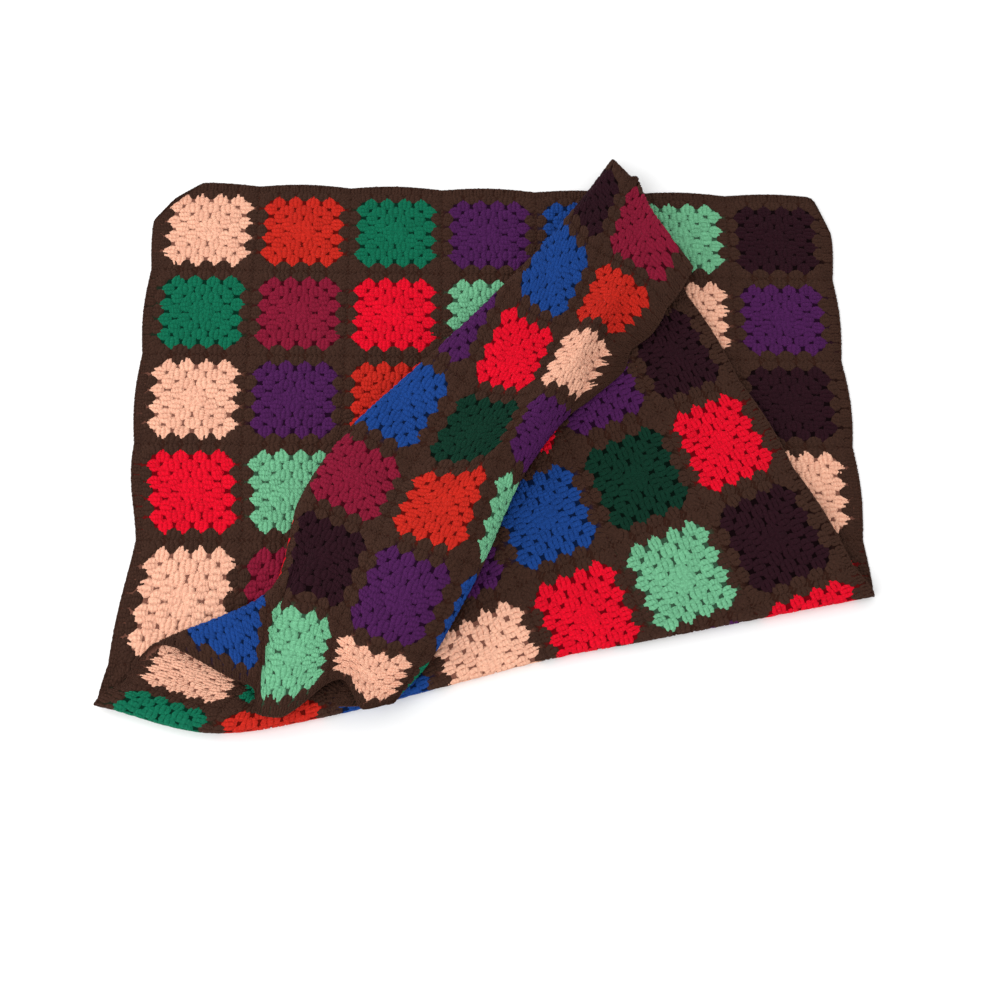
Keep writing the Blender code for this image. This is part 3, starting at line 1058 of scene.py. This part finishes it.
class BlanketMakeJoins(bpy.types.Operator):
    """Work the brown last round of every square and the seam between the squares"""

    bl_idname = "blanket.make_joins"
    bl_label = "Brown rounds and seams"

    def execute(self, context):
        scene = context.scene
        material = yarn_material("yarn_brown", scene.blanket_colours.brown)
        halves = (("joins_first", range(0, 6)), ("joins_last", range(6, ROWS)))
        for name, rows in halves:
            points = []
            for row in rows:
                for column in range(COLUMNS):
                    points += round_points(column, row, BROWN_ROUND)
            repeat_stitches(name, cluster_mesh(scene.blanket_sizes), points, material)
        pitch = scene.blanket_sizes.seam_pitch / MM
        points = []
        for line in range(1, COLUMNS):
            count = round(ROWS * SQUARE / pitch)
            points += [(line * SQUARE, (k + 0.5) * pitch, 0.0, 1.0, 1.0) for k in range(count)]
        for line in range(1, ROWS):
            count = round(COLUMNS * SQUARE / pitch)
            side = math.pi / 2
            points += [((k + 0.5) * pitch, line * SQUARE, side, 1.0, 1.0) for k in range(count)]
        seam = stitch_mesh("seam_stitch", ((SEAM_STITCH, 1),), SEAM_DEPTH)
        repeat_stitches("seams", seam, points, material)
        return {"FINISHED"}


class BlanketMakeEdging(bpy.types.Operator):
    """Work the arched edging and the chain along its rim"""

    bl_idname = "blanket.make_edging"
    bl_label = "Edging"

    def execute(self, context):
        scene = context.scene
        sizes = scene.blanket_sizes
        material = yarn_material("yarn_edging", scene.blanket_colours.brown)
        points = []
        for start, end in border_walk(sizes.edging_pitch / MM, EDGING_INSET):
            first = np.array(start) * SQUARE
            last = np.array(end) * SQUARE
            first -= (last - first) / max(np.linalg.norm(last - first), 1e-6) * EDGING_ROOT
            points.append(cluster_point(first, last, EDGING_WIDTH))
        repeat_stitches("edging", cluster_mesh(sizes), points, material)
        points = []
        spots = border_walk(sizes.rim_pitch / MM, RIM_INSET)
        for (start, end), (_, beyond) in zip(spots, spots[1:] + spots[:1]):
            place = np.array(end) * SQUARE
            way = np.array(beyond) * SQUARE - place
            turn = math.atan2(-way[1], way[0]) - math.pi / 2
            points.append((place[0], place[1], turn, 1.0, 1.0))
        chain = stitch_mesh("chain_stitch", ((CHAIN_STITCH, 1),), CHAIN_DEPTH)
        repeat_stitches("rim_chain", chain, points, material)
        return {"FINISHED"}


def floor_material():
    """A plain pale floor."""
    material = bpy.data.materials.new("pale_floor")
    material.use_nodes = True
    nodes = material.node_tree.nodes
    link = material.node_tree.links.new
    shader = nodes["Principled BSDF"]
    place = nodes.new("ShaderNodeTexCoord")
    noise = nodes.new("ShaderNodeTexNoise")
    noise.inputs["Scale"].default_value = 2.0
    link(place.outputs["Object"], noise.inputs["Vector"])
    pale = mixed(nodes, link, noise.outputs["Fac"], (0.90, 0.90, 0.90, 1.0), (0.92, 0.92, 0.92, 1.0))
    link(pale, shader.inputs["Base Color"])
    shader.inputs["Roughness"].default_value = 0.9
    shader.inputs["Specular IOR Level"].default_value = 0.1
    return material


def add_light(name, kind, power, size, place, target):
    data = bpy.data.lights.new(name, kind)
    data.energy = power
    data.size = size
    light = mesh_object(name, data)
    light.location = place
    light.rotation_euler = (Vector(target) - Vector(place)).to_track_quat("-Z", "Y").to_euler()
    return light


class BlanketMakeStage(bpy.types.Operator):
    """Set the floor, the soft lights and the camera"""

    bl_idname = "blanket.make_stage"
    bl_label = "Stage"

    def execute(self, context):
        scene = context.scene
        studio = scene.blanket_studio
        target = Vector(-FOLD.origin * MM)
        mesh = bpy.data.meshes.new("floor")
        corners = [(x * FLOOR_HALF, y * FLOOR_HALF, 0) for x, y in ((-1, -1), (1, -1), (1, 1), (-1, 1))]
        mesh.from_pydata(corners, [], [(0, 1, 2, 3)])
        mesh.materials.append(floor_material())
        mesh_object("floor", mesh)

        camera_data = bpy.data.cameras.new("camera")
        camera_data.lens = studio.lens
        camera_data.sensor_width = 36.0
        camera = mesh_object("camera", camera_data)
        tilt = studio.camera_elevation
        away = Vector((0, -math.cos(tilt), math.sin(tilt))) * studio.camera_distance
        camera.location = target + away
        camera.rotation_euler = (math.pi / 2 - tilt, 0, 0)
        scene.camera = camera

        add_light("key", "AREA", studio.key_power, 1.6, (-0.9, -1.3, 2.1), target)
        add_light("side", "AREA", studio.side_power, 1.0, (-2.0, 0.4, 0.9), target)
        world = bpy.data.worlds.new("soft_sky")
        world.use_nodes = True
        sky = world.node_tree.nodes["Background"]
        sky.inputs["Color"].default_value = (1.0, 1.0, 1.0, 1.0)
        sky.inputs["Strength"].default_value = studio.sky
        scene.world = world
        scene.view_settings.view_transform = "Standard"
        return {"FINISHED"}


class BLANKET_PT_panel(bpy.types.Panel):
    """Lists the steps in the order they are worked"""

    bl_label = "Granny Square Blanket"
    bl_space_type = "VIEW_3D"
    bl_region_type = "UI"
    bl_category = "Blanket"

    def draw(self, context):
        scene = context.scene
        for settings in (scene.blanket_colours, scene.blanket_sizes, scene.blanket_studio):
            box = self.layout.box()
            for name in settings.__annotations__:
                box.prop(settings, name)
        for step in STEPS:
            self.layout.operator(step.bl_idname)


STEPS = (
    BlanketMakeStage,
    BlanketMakeGround,
    BlanketMakeSquares,
    BlanketMakeJoins,
    BlanketMakeEdging,
)
CLASSES = (BlanketYarnColours, BlanketStitchSizes, BlanketStudioSettings) + STEPS + (BLANKET_PT_panel,)


def register():
    for item in CLASSES:
        bpy.utils.register_class(item)
    bpy.types.Scene.blanket_colours = bpy.props.PointerProperty(type=BlanketYarnColours)
    bpy.types.Scene.blanket_sizes = bpy.props.PointerProperty(type=BlanketStitchSizes)
    bpy.types.Scene.blanket_studio = bpy.props.PointerProperty(type=BlanketStudioSettings)


def unregister():
    del bpy.types.Scene.blanket_studio
    del bpy.types.Scene.blanket_sizes
    del bpy.types.Scene.blanket_colours
    for item in reversed(CLASSES):
        bpy.utils.unregister_class(item)


def main():
    register()
    bpy.ops.blanket.make_stage()
    bpy.ops.blanket.make_ground()
    bpy.ops.blanket.make_squares()
    bpy.ops.blanket.make_joins()
    bpy.ops.blanket.make_edging()


if __name__ == "__main__":
    main()
